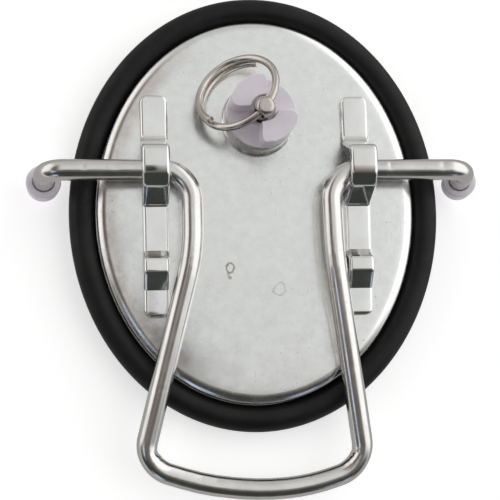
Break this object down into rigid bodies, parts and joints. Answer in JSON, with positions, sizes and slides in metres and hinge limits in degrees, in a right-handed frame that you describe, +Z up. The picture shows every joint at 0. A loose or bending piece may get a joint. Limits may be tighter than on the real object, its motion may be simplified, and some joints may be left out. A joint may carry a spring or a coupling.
{
  "type": "beer keg lid",
  "caption": "Oval keg hatch lid with a rubber O-ring, a bail handle held in bracket strips, and a pull-ring pressure relief valve.",
  "frame": {"origin": "centre of the whole object's base, level with the underside of the lid's flange", "axes": "+Z up, out of the keg; +Y along the lid's long axis, from the closed handle's crossbar towards the relief valve; +X to the right, along the bail's pivot"},
  "size_m": [0.1182, 0.1306, 0.0281],
  "materials": {
    "plate_steel": "satin-polished stainless steel",
    "bracket_steel": "satin-polished stainless steel strip",
    "bail_steel": "polished stainless steel wire",
    "ring_steel": "warm-toned stainless steel",
    "spring_steel": "drawn stainless steel",
    "seal_rubber": "matte black rubber",
    "lilac_plastic": "matte lilac-grey moulded plastic",
    "white_plastic": "matte off-white moulded plastic"
  },
  "bodies": {
    "lid": {"lid_shell": "plate_steel", "lid_seal": "seal_rubber", "bracket_left": "bracket_steel", "bracket_right": "bracket_steel", "valve_collar": "plate_steel", "valve_body": "lilac_plastic", "body_gasket": "seal_rubber", "seat_plug": "white_plastic", "spring_washer": "spring_steel", "valve_spring": "spring_steel"},
    "handle": {"bail": "bail_steel", "foot_left": "lilac_plastic", "foot_right": "lilac_plastic"},
    "stem": {"valve_stem": "ring_steel", "poppet": "white_plastic", "poppet_seal": "seal_rubber"},
    "ring": {"pull_ring": "ring_steel"}
  },
  "joints": [
    {"name": "bail_swing", "type": "hinge", "parent": "lid", "child": "handle", "pos_m": [0, 0.01766, 0.0165], "axis": [-1, 0, 0], "range_deg": [0, 95]},
    {"name": "valve_lift", "type": "slide", "parent": "lid", "child": "stem", "axis": [0, 0, 1], "range_m": [0, 0.002], "stiffness_N_per_m": 1500, "springref_m": -0.002, "deforming": ["valve_spring"]},
    {"name": "ring_swing", "type": "hinge", "parent": "stem", "child": "ring", "pos_m": [0.0005, 0.03166, 0.026], "axis": [0.6691, 0.7431, 0], "range_deg": [0, 250]}
  ]
}
